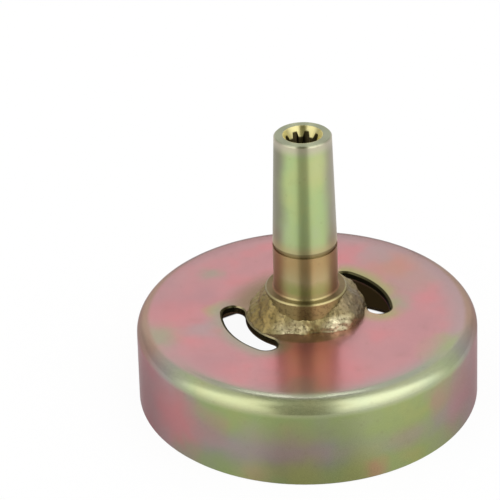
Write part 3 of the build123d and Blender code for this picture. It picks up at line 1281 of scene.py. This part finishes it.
        # painted highlight: two pale patches in front where glints fall
        colour = made.spotted(colour, self.glint_spots(), self.painted_light_tint)
        colour = sheet.blend(sheet.times(made.pits(self.pit_span), self.pit_strength), colour, self.pit_tint)
        colour = sheet.blend(made.marks(self.stains), colour, self.stain_tint)
        grain = made.grain()
        smoothest = self.finish.roughness - self.grain_roughness / 2.0
        roughness = sheet.math("ADD", sheet.times(grain, self.grain_roughness), smoothest)
        return made.finish_with(colour, roughness, grain)

    def dress(self, effects: SharedEffects) -> bpy.types.Object:
        """Builds the bead and paints it.

        Args:
            effects: The shared groups.

        Returns:
            The new piece.
        """
        bead = self.build()
        bead.data.materials.append(self.material(effects))
        return bead


@dataclass
class PhotoCamera:
    """The camera of the photograph, in metres and degrees from the middle of the rim."""

    azimuth: float = -27.5
    elevation: float = 29.81
    roll: float = -2.185
    distance: float = 0.457585
    aim_right: float = -0.013955
    aim_up: float = 0.032258
    lens: float = 136.8
    sensor: float = 36.0

    def place(self) -> bpy.types.Object:
        """Makes the camera and sets it as the scene's own.

        Returns:
            The camera.
        """
        rise = math.radians(self.elevation)
        back = Vector((0.0, -math.cos(rise), math.sin(rise)))
        tip = Matrix.Rotation(math.radians(self.roll), 3, back)
        level = Vector((1.0, 0.0, 0.0))
        right = tip @ level
        up = tip @ back.cross(level)
        pose = Matrix((right, up, back)).transposed().to_4x4()
        pose.translation = right * self.aim_right + up * self.aim_up + back * self.distance
        lens = bpy.data.cameras.new("photo_camera")
        lens.lens = self.lens
        lens.sensor_width = self.sensor
        camera = bpy.data.objects.new("photo_camera", lens)
        camera.matrix_world = Matrix.Rotation(math.radians(self.azimuth), 4, "Z") @ pose
        bpy.context.scene.collection.objects.link(camera)
        bpy.context.scene.camera = camera
        return camera

    def towards(self, side: float) -> Vector:
        """The level direction from the object to one of the camera's sides, as an angle from its front."""
        turn = math.radians(self.azimuth - 90.0 + side)
        return Vector((math.cos(turn), math.sin(turn), 0.0))


@dataclass(frozen=True)
class StripLamp:
    """One soft strip lamp: its angle from the camera's front, its rise, its distance, its size and its power."""

    name: str
    side: float
    rise: float
    distance: float
    width: float
    height: float
    watts: float


@dataclass
class Studio:
    """The pale floor, the paper behind, a strip lamp and a room hung with cloth. Lengths here are in metres.

    Directions to the room are given by their parts towards the camera's front, its right and straight up.
    """

    camera: PhotoCamera

    # The floor and the paper
    floor_radius: float = 4.0
    floor_steps: int = 64
    paper_distance: float = 1.1
    paper_rise: float = 46.0
    paper_spread: float = 40.0
    paper_steps: int = 32
    paper_colour: Colour = (0.9, 0.9, 0.9)
    paper_glow: float = 0.95

    # How the floor shows in metal: dimmer near the object and in front of it, dark under it
    near_reach: Span = (0.041, 0.073)
    near_light: float = 0.74
    front_edge: Span = (0.90, 0.985)
    front_dimming: float = 0.24
    under_light: float = 0.06
    rim_inside: float = 0.0373
    rim_outside: float = 0.0395
    rim_soft: float = 0.0003

    # The room: cloth on both sides, dimmer cloth behind, and a dark gap in front that narrows overhead
    cloth_left: float = 1.98
    cloth_right: float = 2.32
    cloth_low: float = 1.22
    cloth_rise: Span = (0.0, 0.75)
    behind_edge: Span = (0.1, -0.15)
    behind_rise: Span = (0.50, 0.72)
    behind_low: float = 0.70
    behind_high: float = 0.85
    gap_light: float = 0.22
    gap_tint: Colour = (1.0, 1.0, 0.74)
    gap_half_width: Span = (0.25, 0.39)
    gap_shift: float = 0.07
    overhead_edge: Span = (0.6, 0.0)
    overhead_shift: float = 0.02
    overhead_narrowing: float = 1.8
    strip: StripLamp = StripLamp("strip_back", Side.BACK.value, 59.0, 0.95, 0.28, 0.15, 0.53)

    def mirrored_light(self, sheet: NodeSheet, place: Socket) -> Socket:
        """How bright the floor and the paper show in metal.

        Args:
            sheet: The paper's nodes.
            place: The place on the floor or the paper.

        Returns:
            The strength.
        """
        away = sheet.measure("LENGTH", place)
        front = tuple(self.camera.towards(Side.FRONT.value))
        ahead = sheet.measure("DOT_PRODUCT", sheet.vector("NORMALIZE", place), front)
        lit = sheet.lerp(sheet.fade(away, *self.near_reach), self.near_light, 1.0)
        dimming = sheet.times(sheet.fade(ahead, *self.front_edge), self.front_dimming)
        lit = sheet.math("SUBTRACT", lit, dimming)
        under = sheet.fade(away, self.rim_outside + self.rim_soft, self.rim_outside)
        return sheet.lerp(under, lit, self.under_light)

    def paper_material(self) -> bpy.types.Material:
        """White paper that shows as white to the camera and in metal, and keeps the object's shadow.

        Under the rim it doesn't glow, so that the line where the object stands stays dark. From below it is clear.

        Returns:
            The material of the floor and the paper.
        """
        material = bpy.data.materials.new("studio_paper")
        material.use_nodes = True
        sheet = NodeSheet(material.node_tree)
        path = sheet.add("ShaderNodeLightPath").outputs
        place = sheet.add("ShaderNodeTexCoord").outputs["Object"]
        away = sheet.measure("LENGTH", place)
        under_rim = sheet.band(away, self.rim_inside, self.rim_outside, self.rim_soft)
        straight = sheet.times(path["Is Camera Ray"], sheet.math("SUBTRACT", 1.0, under_rim))
        mirrored = sheet.math("MAXIMUM", path["Is Glossy Ray"], path["Is Transmission Ray"])
        strength = sheet.lerp(mirrored, 1.0, self.mirrored_light(sheet, place))
        share = sheet.times(sheet.math("MAXIMUM", straight, mirrored), self.paper_glow)
        paper = sheet.add("ShaderNodeBsdfDiffuse", {"Color": self.paper_colour}).outputs[0]
        glow = sheet.add("ShaderNodeEmission", {"Color": WHITE, "Strength": strength}).outputs[0]
        front = sheet.add("ShaderNodeMixShader", {0: share, 1: paper, 2: glow}).outputs[0]
        below = sheet.add("ShaderNodeNewGeometry").outputs["Backfacing"]
        nothing = sheet.add("ShaderNodeBsdfTransparent").outputs[0]
        both = sheet.add("ShaderNodeMixShader", {0: below, 1: front, 2: nothing}).outputs[0]
        sheet.feed(material.node_tree.nodes["Material Output"].inputs["Surface"], both)
        return material

    def lay_mesh(
        self, name: str, corners: list[Vector], faces: list[tuple[int, ...]], material: bpy.types.Material
    ) -> None:
        """Makes one piece of the stage.

        Args:
            name: Its name.
            corners: Its points.
            faces: Its faces.
            material: What it is made of.
        """
        mesh = bpy.data.meshes.new(name)
        mesh.from_pydata(corners, [], faces)
        mesh.materials.append(material)
        piece = bpy.data.objects.new(name, mesh)
        bpy.context.scene.collection.objects.link(piece)

    def lay_paper(self) -> None:
        """Lays the round floor and stands the paper behind the object."""
        material = self.paper_material()
        turns = [math.tau * step / self.floor_steps for step in range(self.floor_steps)]
        rim = [Vector((math.cos(turn), math.sin(turn), 0.0)) * self.floor_radius for turn in turns]
        self.lay_mesh("floor", rim, [tuple(range(self.floor_steps))], material)
        height = self.paper_distance * math.tan(math.radians(self.paper_rise))
        corners = []
        for step in range(self.paper_steps + 1):
            side = Side.BACK.value + self.paper_spread * (2.0 * step / self.paper_steps - 1.0)
            foot = self.camera.towards(side) * self.paper_distance
            corners += [foot, foot + Vector((0.0, 0.0, height))]
        feet = range(0, 2 * self.paper_steps, 2)
        self.lay_mesh("paper", corners, [(foot + 1, foot + 3, foot + 2, foot) for foot in feet], material)

    def hang_strip(self) -> None:
        """Hangs the strip lamp, aimed at the object."""
        strip = self.strip
        lamp = bpy.data.lights.new(strip.name, "AREA")
        lamp.shape = "RECTANGLE"
        lamp.size = strip.width
        lamp.size_y = strip.height
        lamp.energy = strip.watts
        rise = math.radians(strip.rise)
        away = self.camera.towards(strip.side) * math.cos(rise) + Vector((0.0, 0.0, math.sin(rise)))
        hung = bpy.data.objects.new(strip.name, lamp)
        hung.location = away * strip.distance
        hung.rotation_euler = away.to_track_quat("Z", "Y").to_euler()
        bpy.context.scene.collection.objects.link(hung)

    def light_room(self) -> None:
        """Lights the room with its cloth and leaves the gap dark, white only where the camera sees it."""
        world = bpy.data.worlds.new("studio_room")
        world.use_nodes = True
        bpy.context.scene.world = world
        sheet = NodeSheet(world.node_tree)
        way = sheet.add("ShaderNodeTexCoord").outputs["Generated"]
        rise = sheet.add("ShaderNodeSeparateXYZ", {0: way}).outputs["Z"]
        ahead = sheet.measure("DOT_PRODUCT", way, tuple(self.camera.towards(Side.FRONT.value)))
        across = sheet.measure("DOT_PRODUCT", way, tuple(self.camera.towards(Side.RIGHT.value)))
        overhead = sheet.fade(ahead, *self.overhead_edge)
        shift = sheet.lerp(overhead, self.gap_shift, self.overhead_shift)
        off_gap = sheet.math("ABSOLUTE", sheet.math("ADD", across, shift))
        off_gap = sheet.times(off_gap, sheet.lerp(overhead, 1.0, self.overhead_narrowing))
        beside = sheet.fade(off_gap, *self.gap_half_width)
        right = sheet.math("GREATER_THAN", across, 0.0)
        cloth = sheet.lerp(right, self.cloth_left, self.cloth_right)
        cloth = sheet.lerp(sheet.fade(rise, *self.cloth_rise), self.cloth_low, cloth)
        behind = sheet.lerp(sheet.fade(rise, *self.behind_rise), self.behind_low, self.behind_high)
        cloth = sheet.lerp(sheet.fade(ahead, *self.behind_edge), cloth, behind)
        light = sheet.lerp(beside, self.gap_light, cloth)
        seen = sheet.add("ShaderNodeLightPath").outputs["Is Camera Ray"]
        background = world.node_tree.nodes["Background"]
        sheet.feed(background.inputs["Strength"], sheet.lerp(seen, light, 1.0))
        neutral = sheet.math("MAXIMUM", beside, seen)
        sheet.feed(background.inputs["Color"], sheet.blend(neutral, self.gap_tint, WHITE))

    def set_up(self) -> None:
        """Builds the whole studio."""
        self.lay_paper()
        self.hang_strip()
        self.light_room()
        bpy.context.scene.view_settings.view_transform = "Standard"
        log.info("studio set up with a floor, paper, a strip lamp and a room")


def main() -> None:
    """Builds the object's finishes and the studio round it."""
    logging.basicConfig(level=logging.INFO, format="%(name)s: %(message)s")
    camera = PhotoCamera()
    camera.place()
    effects = SharedEffects()
    DrumCup().dress(effects)
    SplinedShaft().dress(effects)
    WeldBead().dress(effects)
    Studio(camera).set_up()


if __name__ == "__main__":
    main()
